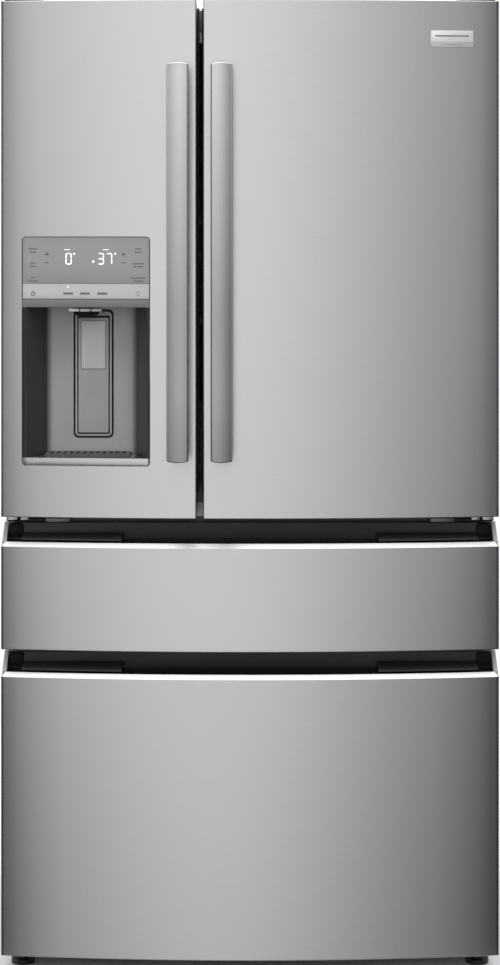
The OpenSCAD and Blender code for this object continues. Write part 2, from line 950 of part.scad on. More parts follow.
module grip_pocket_shell(face_z) {
    intersection() {
        grip_pocket(face_z, 3, 28);
        slab([-hw, y_handle, face_z - 40], [hw, grip_y + 4, face_z + bevel - 1.5]);
    }
}

module drawer_seal(z0, z1) {
    seal_ring(-gasket_x, gasket_x, z0, z1);
}

// Open tub with a runner along each side
module drawer_tub(y1, z0, z1, s, run_y1) {
    open_box([-tub_x, y_door + 0.1, z0], [tub_x, y1, z1], 4);
    both_sides()
        slab([tub_x - 1, y_door + 4, s[2] - 12], [381.5, run_y1, s[2] + 12]);
}

module middle_drawer_front() {
    color("silver")
        drawer_face(mid_z0, mid_face_z);
}

module middle_drawer_core() {
    color("lightgray")
        drawer_core(mid_z0, mid_face_z);
}

module middle_drawer_grip() {
    color("black")
        drawer_grip(mid_face_z);
}

module middle_drawer_gasket() {
    color("gray")
        drawer_seal(596, 816);
}

module middle_drawer_tub() {
    color("lightcyan")
        drawer_tub(316, 620, 778, mid_slide, 316);
}

module freezer_drawer_front() {
    color("silver")
        drawer_face(frz_z0, frz_face_z);
}

module freezer_drawer_core() {
    color("lightgray")
        drawer_core(frz_z0, frz_face_z);
}

module freezer_drawer_grip() {
    color("black")
        drawer_grip(frz_face_z);
}

module freezer_drawer_gasket() {
    color("gray")
        drawer_seal(82, 574);
}

module freezer_drawer_tub() {
    color("lightcyan")
        drawer_tub(138, 108, 425, frz_slide, 138);
}

module freezer_basket() {
    color("lightcyan")
        open_box([-tub_x, -222, 425.5], [tub_x, 90, 515], 3);
}

module crisper(side) {
    x0 = side < 0 ? -lw + 8 : 8;
    x1 = side < 0 ? -8 : lw - 8;
    open_box([x0, shelf_y0 + 4, fresh_z[0] + 0.4], [x1, shelf_y1 - 4, cover_z - 6]);
    slab([x0 + 60, shelf_y0 - 8, cover_z - 40], [x1 - 60, shelf_y0 + 5, cover_z - 32]);
}

module crisper_left() {
    color("lightcyan")
        crisper(-1);
}

module crisper_right() {
    color("lightcyan")
        crisper(1);
}

// ---------- feet ----------
module rear_rollers() {
    color("dimgray")
        translate([0, roller_y, roller_r])
            rotate([0, 90, 0]) {
                translate([0, 0, -430])
                    cylinder(r = axle_r, h = 860);
                for (x = [-roller_x, roller_x])
                    translate([0, 0, x - 11])
                        cylinder(r = roller_r, h = 22);
            }
}

module levelling_leg(x) {
    translate([x, leg_y, 0]) {
        cylinder(r = leg_r, h = 8);
        translate([0, 0, 7])
            cylinder(r = 10, h = 8, $fn = 6);
        cylinder(r = stem_r, h = 33);
    }
}

module left_leg() {
    color("black")
        levelling_leg(-leg_x);
}

module right_leg() {
    color("black")
        levelling_leg(leg_x);
}

outer_case();
rear_panel();
cabinet_foam();
fresh_food_liner();
drawer_liners();
base_frame();
machine_cover();
compressor();
condenser_coil();
fan_shroud();
evaporator_coil();
air_ducts();
led_lights();
shelf_frames();
shelf_glass();
ice_maker();
water_valve();
cord_gland();
door_hinges();
hinge_covers();
fixed_slides();
left_door_skin();
left_door_liner();
left_door_gasket();
left_door_caps();
left_handle();
left_door_bins();
dispenser_housing();
dispenser_panel();
drip_tray();
dispenser_paddle();
mullion_bar();
right_door_skin();
right_door_liner();
right_door_gasket();
right_door_caps();
right_handle();
right_door_bins();
badge_plate();
dairy_lid();
middle_drawer_front();
middle_drawer_core();
middle_drawer_grip();
middle_drawer_gasket();
middle_drawer_tub();
middle_slide_members();
freezer_drawer_front();
freezer_drawer_core();
freezer_drawer_grip();
freezer_drawer_gasket();
freezer_drawer_tub();
freezer_slide_members();
freezer_basket();
crisper_left();
crisper_right();
condenser_fan();
rear_rollers();
left_leg();
right_leg();
water_filter();
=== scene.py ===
"""Looks of the French door refrigerator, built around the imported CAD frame. Metres, +Z up, doors face -Y."""
import math

import bmesh
import bpy
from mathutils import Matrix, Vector


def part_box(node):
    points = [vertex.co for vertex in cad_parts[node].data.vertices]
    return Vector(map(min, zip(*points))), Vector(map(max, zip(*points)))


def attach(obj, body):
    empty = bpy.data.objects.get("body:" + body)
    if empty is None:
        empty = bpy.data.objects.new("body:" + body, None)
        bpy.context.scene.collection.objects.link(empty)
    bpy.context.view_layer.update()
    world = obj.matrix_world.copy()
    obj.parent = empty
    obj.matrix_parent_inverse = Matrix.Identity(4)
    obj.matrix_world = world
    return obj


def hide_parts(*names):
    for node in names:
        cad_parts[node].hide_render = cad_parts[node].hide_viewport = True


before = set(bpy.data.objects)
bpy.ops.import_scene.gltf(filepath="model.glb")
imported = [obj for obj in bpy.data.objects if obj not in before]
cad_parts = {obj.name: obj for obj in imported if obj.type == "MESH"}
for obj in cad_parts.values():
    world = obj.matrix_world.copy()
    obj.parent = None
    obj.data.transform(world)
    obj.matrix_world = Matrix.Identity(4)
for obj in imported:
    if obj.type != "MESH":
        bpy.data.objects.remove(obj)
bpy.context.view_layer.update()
MM = 0.001

# ---------------------------------------------------------------- camera
DOOR_THICK = 68 * MM
DOOR_GAP = 10 * MM
EDGE_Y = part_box("outer_case")[0].y - DOOR_THICK - DOOR_GAP
VIEW_DISTANCE = 4.2
EYE_HEIGHT = 1.357
camera_data = bpy.data.cameras.new("camera")
camera_data.sensor_width = 36
camera_data.lens = 85.8
camera_data.shift_y = -0.26
camera_data.clip_end = 60
camera = bpy.data.objects.new("camera", camera_data)
camera.location = (0, EDGE_Y - VIEW_DISTANCE, EYE_HEIGHT)
camera.rotation_euler = (math.pi / 2, 0, 0)
bpy.context.scene.collection.objects.link(camera)
bpy.context.scene.camera = camera
bpy.context.scene.view_settings.view_transform = "Standard"

# ---------------------------------------------------------------- the shared bow of the fronts
HALF_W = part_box("freezer_drawer_front")[1].x
CROWN_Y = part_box("freezer_drawer_front")[0].y
BOW = EDGE_Y - CROWN_Y
ARC_R = (HALF_W ** 2 + BOW ** 2) / (2 * BOW)
ARC_Y = CROWN_Y + ARC_R
EASE_W = 34 * MM
EASE_D = 0.95 * MM


def front_y(x, inset=0.0):
    """Depth of the bowed front at x, moved inwards by inset; its outer edges fall away a little."""
    fall = max(0.0, (abs(x) - HALF_W + EASE_W) / EASE_W)
    return ARC_Y - math.sqrt((ARC_R - inset) ** 2 - x * x) + EASE_D * fall ** 2


# ---------------------------------------------------------------- materials
def new_material(name):
    mat = bpy.data.materials.new(name)
    mat.use_nodes = True
    tree = mat.node_tree
    shader = tree.nodes["Principled BSDF"]
    return mat, tree, shader


def node(tree, kind, **values):
    """Adds a node, setting its properties by name and its inputs by socket name."""
    made = tree.nodes.new(kind)
    for key, value in values.items():
        if hasattr(made, key):
            setattr(made, key, value)
        else:
            made.inputs[key.replace("_", " ")].default_value = value
    return made


def grain(tree, scale, detail=4.0, rough=0.6):
    """Noise stretched by scale, in the object's own metres."""
    place = node(tree, "ShaderNodeTexCoord")
    fit = node(tree, "ShaderNodeMapping")
    fit.inputs["Scale"].default_value = scale
    noise = node(tree, "ShaderNodeTexNoise", Scale=1.0, Detail=detail, Roughness=rough)
    tree.links.new(place.outputs["Object"], fit.inputs["Vector"])
    tree.links.new(fit.outputs["Vector"], noise.inputs["Vector"])
    return noise.outputs["Fac"]


def ramp(tree, value, low, high, at=(0.3, 0.7)):
    """Maps a value's span, at, onto a range of numbers or colours."""
    if isinstance(low, (int, float)):
        made = node(tree, "ShaderNodeMapRange")
        made.inputs["From Min"].default_value = at[0]
        made.inputs["From Max"].default_value = at[1]
        made.inputs["To Min"].default_value = low
        made.inputs["To Max"].default_value = high
        tree.links.new(value, made.inputs["Value"])
        return made.outputs["Result"]
    made = node(tree, "ShaderNodeValToRGB")
    made.color_ramp.elements[0].position = at[0]
    made.color_ramp.elements[0].color = (*low, 1)
    made.color_ramp.elements[1].position = at[1]
    made.color_ramp.elements[1].color = (*high, 1)
    tree.links.new(value, made.inputs["Fac"])
    return made.outputs["Color"]


def bump(tree, shader, value, strength, distance):
    made = node(tree, "ShaderNodeBump", Strength=strength, Distance=distance)
    tree.links.new(value, made.inputs["Height"])
    tree.links.new(made.outputs["Normal"], shader.inputs["Normal"])


def around(colour, spread):
    """The colour, darkened and lightened by spread."""
    darker = tuple(max(c * (1 - spread), 0) for c in colour)
    lighter = tuple(min(c * (1 + spread), 1) for c in colour)
    return darker, lighter


def brushed(name, colour, rough, along, spread=0.05, stretch=0.55):
    """Brushed metal: fine streaks along one axis, with faint broad mottling."""
    mat, tree, shader = new_material(name)
    fine = [1600.0, 1600.0, 1600.0]
    fine["XYZ".index(along)] = 3.0
    streaks = grain(tree, fine, detail=3, rough=0.7)
    broad = grain(tree, (2.0, 2.0, 2.0), detail=2)
    tree.links.new(ramp(tree, streaks, *around(colour, spread)), shader.inputs["Base Color"])
    mixed = node(tree, "ShaderNodeMath", operation="MULTIPLY_ADD")
    mixed.inputs[1].default_value = 0.25
    tree.links.new(broad, mixed.inputs[0])
    tree.links.new(streaks, mixed.inputs[2])
    gloss = ramp(tree, mixed.outputs[0], rough - 0.04, rough + 0.05, (0.3, 1.0))
    tree.links.new(gloss, shader.inputs["Roughness"])
    bump(tree, shader, streaks, 0.12, 0.00005)
    shader.inputs["Metallic"].default_value = 1.0
    shader.inputs["Anisotropic"].default_value = stretch
    shader.inputs["Anisotropic Rotation"].default_value = 0.25 if along == "X" else 0.0
    tangent = node(tree, "ShaderNodeTangent", direction_type="RADIAL", axis="Z")
    tree.links.new(tangent.outputs["Tangent"], shader.inputs["Tangent"])
    return mat


def axes_of(tree):
    """The X, Y and Z outputs of the object's own position."""
    place = node(tree, "ShaderNodeTexCoord")
    parts = node(tree, "ShaderNodeSeparateXYZ")
    tree.links.new(place.outputs["Object"], parts.inputs["Vector"])
    return parts.outputs


def distance(tree, value, centre=0.0):
    """How far a value is from the centre, on either side."""
    gap = node(tree, "ShaderNodeMath", operation="SUBTRACT")
    gap.inputs[1].default_value = centre
    tree.links.new(value, gap.inputs[0])
    far = node(tree, "ShaderNodeMath", operation="ABSOLUTE")
    tree.links.new(gap.outputs[0], far.inputs[0])
    return far.outputs[0]


def scale_colour(mat, share):
    """Multiplies a material's colour by a socket's value."""
    tree = mat.node_tree
    colour = tree.nodes["Principled BSDF"].inputs["Base Color"]
    mixed = node(tree, "ShaderNodeVectorMath", operation="SCALE")
    tree.links.new(colour.links[0].from_socket, mixed.inputs[0])
    tree.links.new(share, mixed.inputs["Scale"])
    tree.links.new(mixed.outputs["Vector"], colour)


def tint(mat, axis, centre, at, least):
    """Deepens the colour to a share of itself with distance from centre along one axis."""
    tree = mat.node_tree
    far = distance(tree, axes_of(tree)[axis], centre)
    scale_colour(mat, ramp(tree, far, 1.0, least, at))


def paint_shade_low_sides(mat, sides, heights, share):
    """Paints shade: deepens the colour by a share where the part is both far to a side and low down."""
    tree = mat.node_tree
    spot = axes_of(tree)
    both = node(tree, "ShaderNodeMath", operation="MULTIPLY")
    tree.links.new(ramp(tree, distance(tree, spot["X"]), 0.0, 1.0, sides), both.inputs[0])
    tree.links.new(ramp(tree, spot["Z"], 1.0, 0.0, heights), both.inputs[1])
    scale_colour(mat, ramp(tree, both.outputs[0], 1.0, 1.0 - share, (0.0, 1.0)))


def moulded(name, colour, rough, pebble=900.0, depth=0.3, spread=0.06, coat=0.0, specular=0.5):
    """Moulded plastic or paint: fine pebbling, slight colour drift and uneven gloss."""
    mat, tree, shader = new_material(name)
    fine = grain(tree, (pebble,) * 3, detail=2)
    broad = grain(tree, (6.0,) * 3, detail=3)
    tree.links.new(ramp(tree, broad, *around(colour, spread)), shader.inputs["Base Color"])
    tree.links.new(ramp(tree, broad, rough - 0.05, rough + 0.05), shader.inputs["Roughness"])
    bump(tree, shader, fine, depth, 0.0001)
    shader.inputs["Specular IOR Level"].default_value = specular
    shader.inputs["Coat Weight"].default_value = coat
    return mat


def metal(name, colour, rough, cell=60.0, spread=0.12):
    """Plain sheet or cast metal with a cloudy, slightly spangled surface."""
    mat, tree, shader = new_material(name)
    cloud = grain(tree, (cell,) * 3, detail=5, rough=0.7)
    tree.links.new(ramp(tree, cloud, *around(colour, spread)), shader.inputs["Base Color"])
    tree.links.new(ramp(tree, cloud, rough - 0.07, rough + 0.09), shader.inputs["Roughness"])
    bump(tree, shader, cloud, 0.1, 0.0001)
    shader.inputs["Metallic"].default_value = 1.0
    return mat


def clear(name, colour, rough, alpha):
    """Clear plastic or glass, drawn as a thin see-through skin with faint scuffs."""
    mat, tree, shader = new_material(name)
    scuffs = grain(tree, (40.0, 40.0, 40.0), detail=6, rough=0.75)
    tree.links.new(ramp(tree, scuffs, *around(colour, 0.05)), shader.inputs["Base Color"])
    tree.links.new(ramp(tree, scuffs, rough, rough + 0.08), shader.inputs["Roughness"])
    shader.inputs["Alpha"].default_value = alpha
    shader.inputs["Specular IOR Level"].default_value = 0.7
    return mat


def glowing(name, colour, strength):
    """Lit marks of the display, with a faint unevenness."""
    mat, tree, shader = new_material(name)
    glow = grain(tree, (300.0,) * 3)
    tree.links.new(ramp(tree, glow, *around(colour, 0.04)), shader.inputs["Base Color"])
    tree.links.new(ramp(tree, glow, *around(colour, 0.04)), shader.inputs["Emission Color"])
    shader.inputs["Emission Strength"].default_value = strength
    return mat


# the tints' centres, reaches and heights are in metres
STEEL = brushed("front_steel_painted_shade", (0.60, 0.60, 0.60), 0.30, "X")
# painted shade: the front steel darkens towards its outer edges, strongly at the very edge, and at its lower
# sides
tint(STEEL, "X", 0.0, (0.385, 0.452), 0.82)
tint(STEEL, "X", 0.0, (0.4490, 0.4525), 0.28)
paint_shade_low_sides(STEEL, (0.34, 0.45), (0.0, 1.2), 0.35)
BEVEL_STEEL = brushed("bevel_steel", (0.58, 0.58, 0.58), 0.34, "X", spread=0.02)
STEEL_BAR = brushed("handle_steel_painted_shade", (0.62, 0.62, 0.62), 0.26, "Z", stretch=0.4)
# painted shade: the handle bars darken downwards from near their tops
tint(STEEL_BAR, "Z", 1.64, (0.0, 0.43), 0.59)
tint(STEEL_BAR, "Z", 1.64, (0.58, 0.70), 0.78)
# painted reflection: a pale back on the handle bars, so that the door beside each handle mirrors it lighter
BAR_BACK_PAINTED_LIGHT = moulded("handle_back_painted_light", (0.85, 0.85, 0.85), 0.4, depth=0.1)
# painted shade: the door hinges are drawn near-black, a darker copy of the light hinge zinc
HINGE_SHADED = metal("hinge_zinc_painted_shade", (0.03, 0.03, 0.03), 0.45)
HINGE_LIGHT = metal("hinge_zinc", (0.62, 0.62, 0.62), 0.40)
GRIP_LEDGE = moulded("grip_ledge", (0.045, 0.045, 0.046), 0.45, pebble=700.0)
GRIP_CHEEK = moulded("grip_cheek", (0.010, 0.010, 0.011), 0.55, pebble=700.0, specular=0.2)
GUIDE_GREY = moulded("guide_grey", (0.85, 0.85, 0.852), 0.45)
GUIDE_DARK = moulded("guide_dark", (0.20, 0.20, 0.202), 0.45)
# painted shade: the hinge step, a darker copy of the light hinge zinc
HINGE_STEP_SHADED = metal("hinge_step_painted_shade", (0.22, 0.22, 0.22), 0.45)
STEEL_SILL = brushed("sill_steel", (0.52, 0.52, 0.52), 0.25, "X")
BADGE = moulded("badge_satin", (0.95, 0.95, 0.95), 0.35, depth=0.05, spread=0.02)
CASE_PAINT = moulded("case_paint", (0.16, 0.165, 0.17), 0.45, pebble=500.0, depth=0.6)
REAR_SHEET = metal("rear_sheet", (0.50, 0.51, 0.52), 0.45, cell=30.0)
FOAM = moulded("foam", (0.80, 0.70, 0.42), 0.8, pebble=250.0, depth=0.8, spread=0.15)
LINER = moulded("liner_white", (0.80, 0.81, 0.81), 0.28, depth=0.08, spread=0.02, coat=0.2)
DUCT = moulded("duct_plastic", (0.62, 0.63, 0.64), 0.42)
FRAME_BLACK = moulded("frame_black", (0.02, 0.02, 0.022), 0.40, pebble=300.0)
FAN_GREY = moulded("fan_plastic", (0.12, 0.12, 0.125), 0.45)
COIL = metal("coil_aluminium", (0.72, 0.73, 0.74), 0.35)
LENS = moulded("lamp_lens", (0.88, 0.88, 0.86), 0.35, depth=0.5, spread=0.02)
PANE = clear("shelf_pane", (0.75, 0.88, 0.84), 0.04, 0.28)
CLEAR_BIN = clear("clear_bin", (0.84, 0.89, 0.91), 0.10, 0.34)
ZINC = metal("zinc_steel", (0.55, 0.56, 0.56), 0.35)
VALVE = moulded("valve_plastic", (0.72, 0.71, 0.64), 0.45)
BLACK = moulded("black_plastic", (0.014, 0.014, 0.015), 0.38, pebble=700.0)
CAP_GREY = moulded("cap_plastic", (0.42, 0.42, 0.42), 0.38)
RUBBER = moulded("gasket_rubber", (0.022, 0.022, 0.024), 0.62)
HOUSING = moulded("dispenser_grey", (0.25, 0.25, 0.252), 0.36, depth=0.15, coat=0.1)
CAVE = moulded("cavity_grey_painted_shade", (0.66, 0.66, 0.662), 0.40, depth=0.15)
# painted shade: the cavity's side walls are much darker than its back, and the cavity darkens downwards from
# near its top
tint(CAVE, "X", -0.292, (0.073, 0.084), 0.11)
tint(CAVE, "Z", 1.21, (0.0, 0.24), 0.66)
PADDLE = moulded("paddle_grey", (0.57, 0.57, 0.573), 0.30, depth=0.1)
PADDLE_PAD = moulded("paddle_pad", (0.93, 0.93, 0.933), 0.26, depth=0.1)
DISPLAY = moulded("display_panel_painted_shade", (0.59, 0.59, 0.592), 0.24, depth=0.03, spread=0.02, coat=0.3)
# painted shade: the display plate darkens towards its top
tint(DISPLAY, "Z", 1.262, (0.0, 0.083), 0.62)
ICON_BAR = moulded("icon_bar_painted_shade", (0.93, 0.93, 0.932), 0.24, depth=0.03, spread=0.02, coat=0.3)
# painted shade: the icon bar darkens towards its top
tint(ICON_BAR, "Z", 1.236, (0.003, 0.027), 0.66)
MARK_DARK = moulded("mark_ink", (0.06, 0.06, 0.062), 0.35)
MARK_SOFT = moulded("mark_soft", (0.25, 0.25, 0.252), 0.35)
TRAY = moulded("tray_grey", (0.085, 0.085, 0.086), 0.40, depth=0.15)
MARK_LIT = glowing("mark_lit", (1.0, 1.0, 1.0), 1.1)

CAD_LOOKS = {
    STEEL: ("left_door_skin", "right_door_skin", "middle_drawer_front", "freezer_drawer_front"),
    STEEL_BAR: ("left_handle", "right_handle"),
    CASE_PAINT: ("outer_case", "hinge_covers"),
    REAR_SHEET: ("rear_panel", "machine_cover"),
    FOAM: ("cabinet_foam",),
    LINER: ("fresh_food_liner", "drawer_liners", "left_door_liner", "right_door_liner", "ice_maker"),
    DUCT: ("air_ducts", "shelf_frames"),
    FRAME_BLACK: ("base_frame", "compressor", "condenser_coil"),
    FAN_GREY: ("fan_shroud", "condenser_fan"),
    COIL: ("evaporator_coil",),
    LENS: ("led_lights",),
    PANE: ("shelf_glass",),
    CLEAR_BIN: ("left_door_bins", "right_door_bins", "dairy_lid", "middle_drawer_tub", "freezer_drawer_tub",
                "freezer_basket", "crisper_left", "crisper_right"),
    HINGE_SHADED: ("door_hinges",),
    ZINC: ("fixed_slides", "middle_slide_members", "freezer_slide_members"),
    VALVE: ("water_valve", "water_filter"),
    BLACK: ("cord_gland", "middle_drawer_grip", "freezer_drawer_grip", "mullion_bar", "left_leg",
            "right_leg", "rear_rollers"),
    CAP_GREY: ("left_door_caps", "right_door_caps", "middle_drawer_core", "freezer_drawer_core"),
    RUBBER: ("left_door_gasket", "right_door_gasket", "middle_drawer_gasket", "freezer_drawer_gasket"),
    HOUSING: ("dispenser_housing",),
    TRAY: ("drip_tray",),
    PADDLE: ("dispenser_paddle",),
    DISPLAY: ("dispenser_panel",),
    BADGE: ("badge_plate",),
}
for look, names in CAD_LOOKS.items():
    for name in names:
        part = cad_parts[name]
        part.data.materials.clear()
        part.data.materials.append(look)


# ---------------------------------------------------------------- mesh helpers
def piece(name, verts, faces, look, body, slot, smooth_angle=0.6):
    mesh = bpy.data.meshes.new(name)
    mesh.from_pydata([tuple(v) for v in verts], [], faces)
    mesh.validate()
    made = bpy.data.objects.new(name, mesh)
    bpy.context.scene.collection.objects.link(made)
    mesh.materials.append(look)
    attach(made, body)
    finish_normals(made, smooth_angle)
    return made


def finish_normals(made, smooth_angle):
    """Outward faces, shaded smooth except over edges sharper than smooth_angle."""
    bm = bmesh.new()
    bm.from_mesh(made.data)
    bmesh.ops.remove_doubles(bm, verts=bm.verts, dist=1e-7)
    bmesh.ops.recalc_face_normals(bm, faces=bm.faces)
    for face in bm.faces:
        face.smooth = True
    for edge in bm.edges:
        edge.smooth = len(edge.link_faces) == 2 and edge.calc_face_angle(0) < smooth_angle
    bm.to_mesh(made.data)
    bm.free()


def apply_modifiers(made):
    graph = bpy.context.evaluated_depsgraph_get()
    done = bpy.data.meshes.new_from_object(made.evaluated_get(graph))
    made.modifiers.clear()
    made.data = done


def carve(made, verts, faces):
    """Cuts a closed shape out of a piece."""
    mesh = bpy.data.meshes.new("cutter")
    mesh.from_pydata([tuple(v) for v in verts], [], faces)
    cutter = bpy.data.objects.new("cutter", mesh)
    bpy.context.scene.collection.objects.link(cutter)
    finish_normals(cutter, 0.5)
    cut = made.modifiers.new("cut", "BOOLEAN")
    cut.object = cutter
    cut.operation = "DIFFERENCE"
    cut.solver = "EXACT"
    bpy.context.view_layer.update()
    apply_modifiers(made)
    bpy.data.objects.remove(cutter)


def soften_edges(made, width, segments=2, smooth_angle=0.6):
    """Rounds the sharp edges of a piece and applies the result."""
    cut = made.modifiers.new("round", "BEVEL")
    cut.width = width
    cut.segments = segments
    cut.limit_method = "ANGLE"
    cut.angle_limit = math.radians(35)
    cut.use_clamp_overlap = True
    bpy.context.view_layer.update()
    apply_modifiers(made)
    finish_normals(made, smooth_angle)


def loft(rings):
    """Verts and faces of a skin through rings of equal length, capped at both ends."""
    count = len(rings[0])
    verts = [p for ring in rings for p in ring]
    faces = []
    for r in range(len(rings) - 1):
        for i in range(count):
            j = (i + 1) % count
            faces.append((r * count + i, r * count + j, (r + 1) * count + j, (r + 1) * count + i))
    faces.append(tuple(range(count)))
    faces.append(tuple(range((len(rings) - 1) * count, len(rings) * count)))
    return verts, faces


def rounded_rectangle(x0, x1, z0, z1, radius, steps=6):
    """Outline in x and z, counter-clockwise from the lower right corner."""
    out = []
    corners = ((x1 - radius, z0 + radius, -90), (x1 - radius, z1 - radius, 0),
               (x0 + radius, z1 - radius, 90), (x0 + radius, z0 + radius, 180))
    for cx, cz, start in corners:
        for k in range(steps + 1):
            a = math.radians(start + 90 * k / steps)
            out.append((cx + radius * math.cos(a), cz + radius * math.sin(a)))
    return out


def plate(outline, y_of, thickness, round_by=0.0):
    """A slab standing on an x,z outline: front at y_of(x), with its front edge eased back by round_by."""
    cx = sum(p[0] for p in outline) / len(outline)
    cz = sum(p[1] for p in outline) / len(outline)

    def ring(shrink, push):
        out = []
        for x, z in outline:
            dx, dz = x - cx, z - cz
            span = math.hypot(dx, dz)
            k = (span - shrink) / span
            sx, sz = cx + dx * k, cz + dz * k
            out.append((sx, y_of(sx) + push, sz))
        return out

    rings = [ring(0, thickness)]
    if round_by:
        rings += [ring(0, round_by), ring(round_by * 0.3, round_by * 0.3), ring(round_by, 0)]
    else:
        rings.append(ring(0, 0))
    return loft(rings)


def front_block(x0, x1, y_back, levels, steps=28):
    """Closed block with a bowed front; levels are (height, inset of the front)."""
    stations = [x0 + (x1 - x0) * k / steps for k in range(steps + 1)]
    rings = []
    for z, inset in levels:
        rings.append([(x, front_y(x, inset), z) for x in stations] + [(x1, y_back, z), (x0, y_back, z)])
    return loft(rings)


def through(outline, y0, y1):
    """Verts and faces of an x,z outline run straight along Y, as a cutter."""
    return loft([[(x, y, z) for x, z in outline] for y in (y0, y1)])


def circle(a, b, radius, steps=16):
    """Points of a circle in the plane of a and b."""
    angles = [2 * math.pi * k / steps for k in range(steps)]
    return [(a + radius * math.cos(angle), b + radius * math.sin(angle)) for angle in angles]


def curve(a, b, c, steps):
    """Points of the quadratic curve from a to c that leans towards b."""
    return [tuple((1 - t) ** 2 * p + 2 * t * (1 - t) * q + t * t * r for p, q, r in zip(a, b, c))
            for t in (k / steps for k in range(steps + 1))]


# ---------------------------------------------------------------- bowed steel wraps
CORNER_OUT = 3.5 * MM
CORNER_GAP = 1.8 * MM
FRONT_STEPS = 96
SUPPORT = 0.8 * MM
SLOPE_STEP = 0.1 * MM


def path_end(side, x, y_end, inset):
    """One end of the plan path: the side return, then the corner arc that runs into the bowed front."""
    corner_r = CORNER_OUT if abs(x) > HALF_W - 1 * MM else CORNER_GAP
    radius = max(corner_r - inset, 0.02 * MM)
    cx = x - side * (inset + radius)
    touch = cx
    for _ in range(4):
        slope = (front_y(touch + SLOPE_STEP, inset) - front_y(touch - SLOPE_STEP, inset)) / (2 * SLOPE_STEP)
        touch = cx + radius * slope / math.hypot(slope, 1)
    cy = front_y(touch, inset) + radius / math.hypot(slope, 1)
    turn = math.atan2(-1.0, slope)
    start = 0.0
    if side < 0:
        start, turn = math.pi, turn % (2 * math.pi)
    angles = [start + (turn - start) * k / 8 for k in range(9)]
    arc = [(cx + radius * math.cos(a), cy + radius * math.sin(a)) for a in angles]
    return [(cx + side * radius, y_end), (cx + side * radius, cy + SUPPORT)] + arc


def plan_path(x0, x1, y_end, inset):
    """Plan view of a door wrap from one rear edge round the bowed front to the other, moved in by inset."""
    left = path_end(-1, x0, y_end, inset)
    right = path_end(1, x1, y_end, inset)[::-1]
    first, last = left[-1][0] + SUPPORT, right[0][0] - SUPPORT
    front = [first + (last - first) * k / FRONT_STEPS for k in range(FRONT_STEPS + 1)]
    return left + [(x, front_y(x, inset)) for x in front] + right


def wrap(name, x0, x1, y_end, profile, look, body, slot):
    """A folded sheet: the closed inset,height profile swept along the plan path."""
    columns = [[(x, y, z) for x, y in plan_path(x0, x1, y_end, inset)] for inset, z in profile]
    rings = [list(ring) for ring in zip(*columns)]
    return piece(name, *loft(rings), look, body, slot)


def eased(z, radius, sign, steps=5):
    """Quarter-round from the face at height z in to the horizontal hem; sign is 1 at the top."""
    out = []
    for k in range(steps + 1):
        a = math.pi / 2 * k / steps
        out.append((radius * (1 - math.cos(a)), z - sign * radius * (1 - math.sin(a))))
    return out


SHEET = 1.0 * MM
HEM = 11 * MM
EDGE_ROUND = 1.3 * MM
BEVEL = 8 * MM
HOLE_GAP = 0.9 * MM
IN_FRONT = CROWN_Y - 50 * MM


def door_profile(z0, z1):
    low, high = eased(z0, EDGE_ROUND, -1)[::-1], eased(z1, EDGE_ROUND, 1)
    outer = [(HEM, z0)] + low + [(0, low[-1][1] + SUPPORT), (0, high[0][1] - SUPPORT)] + high + [(HEM, z1)]
    inner = [(HEM, z1 - SHEET), (EDGE_ROUND, z1 - SHEET), (SHEET, z1 - EDGE_ROUND),
             (SHEET, z0 + EDGE_ROUND), (EDGE_ROUND, z0 + SHEET), (HEM, z0 + SHEET)]
    return outer + inner


def drawer_profile(z0, z1):
    """As a door, but with a broad 45 degree bevel at the top."""
    face_z = z1 - BEVEL
    top = [(0, face_z - SUPPORT), (0, face_z), (SUPPORT, face_z + SUPPORT), (BEVEL - SUPPORT, z1 - SUPPORT),
           (BEVEL, z1), (BEVEL + SUPPORT, z1), (HEM, z1)]
    low = eased(z0, EDGE_ROUND, -1)[::-1]
    outer = [(HEM, z0)] + low + [(0, low[-1][1] + SUPPORT)] + top
    inner = [(HEM, z1 - SHEET), (BEVEL + SHEET * 0.4, z1 - SHEET), (SHEET, face_z - SHEET * 0.4),
             (SHEET, z0 + EDGE_ROUND), (EDGE_ROUND, z0 + SHEET), (HEM, z0 + SHEET)]
    return outer + inner


for name, body, profile in (("left_door_skin", "left_door", door_profile),
                            ("right_door_skin", "right_door", door_profile),
                            ("middle_drawer_front", "middle_drawer", drawer_profile),
                            ("freezer_drawer_front", "freezer_drawer", drawer_profile)):
    low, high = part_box(name)
    steel = wrap(name + "_wrap", low.x, high.x, high.y, profile(low.z, high.z), STEEL, body, "steel_front")
    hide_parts(name)
    if profile is drawer_profile:
        steel.data.materials.append(BEVEL_STEEL)
        for face in steel.data.polygons:
            if face.center.z > high.z - BEVEL and 0.5 < face.normal.z < 0.9:
                face.material_index = 1
    if name == "left_door_skin":
        opening_low, opening_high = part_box("dispenser_housing")
        hole = rounded_rectangle(opening_low.x - HOLE_GAP, opening_high.x + HOLE_GAP,
                                 opening_low.z - HOLE_GAP, opening_high.z + HOLE_GAP, 7 * MM)
        carve(steel, *through(hole, IN_FRONT, opening_high.y))
        finish_normals(steel, 0.6)

# ---------------------------------------------------------------- handles
POST_IN = 46 * MM
BAR_T = 17 * MM
CROWN_X = 7.5 * MM
CROWN_CURVE = 4.2


def arc_points(cx, cy, radius, first, last, steps):
    """Points along an arc, angles in degrees."""
    angles = [math.radians(first + (last - first) * k / steps) for k in range(steps + 1)]
    return [(cx + radius * math.cos(a), cy + radius * math.sin(a)) for a in angles]


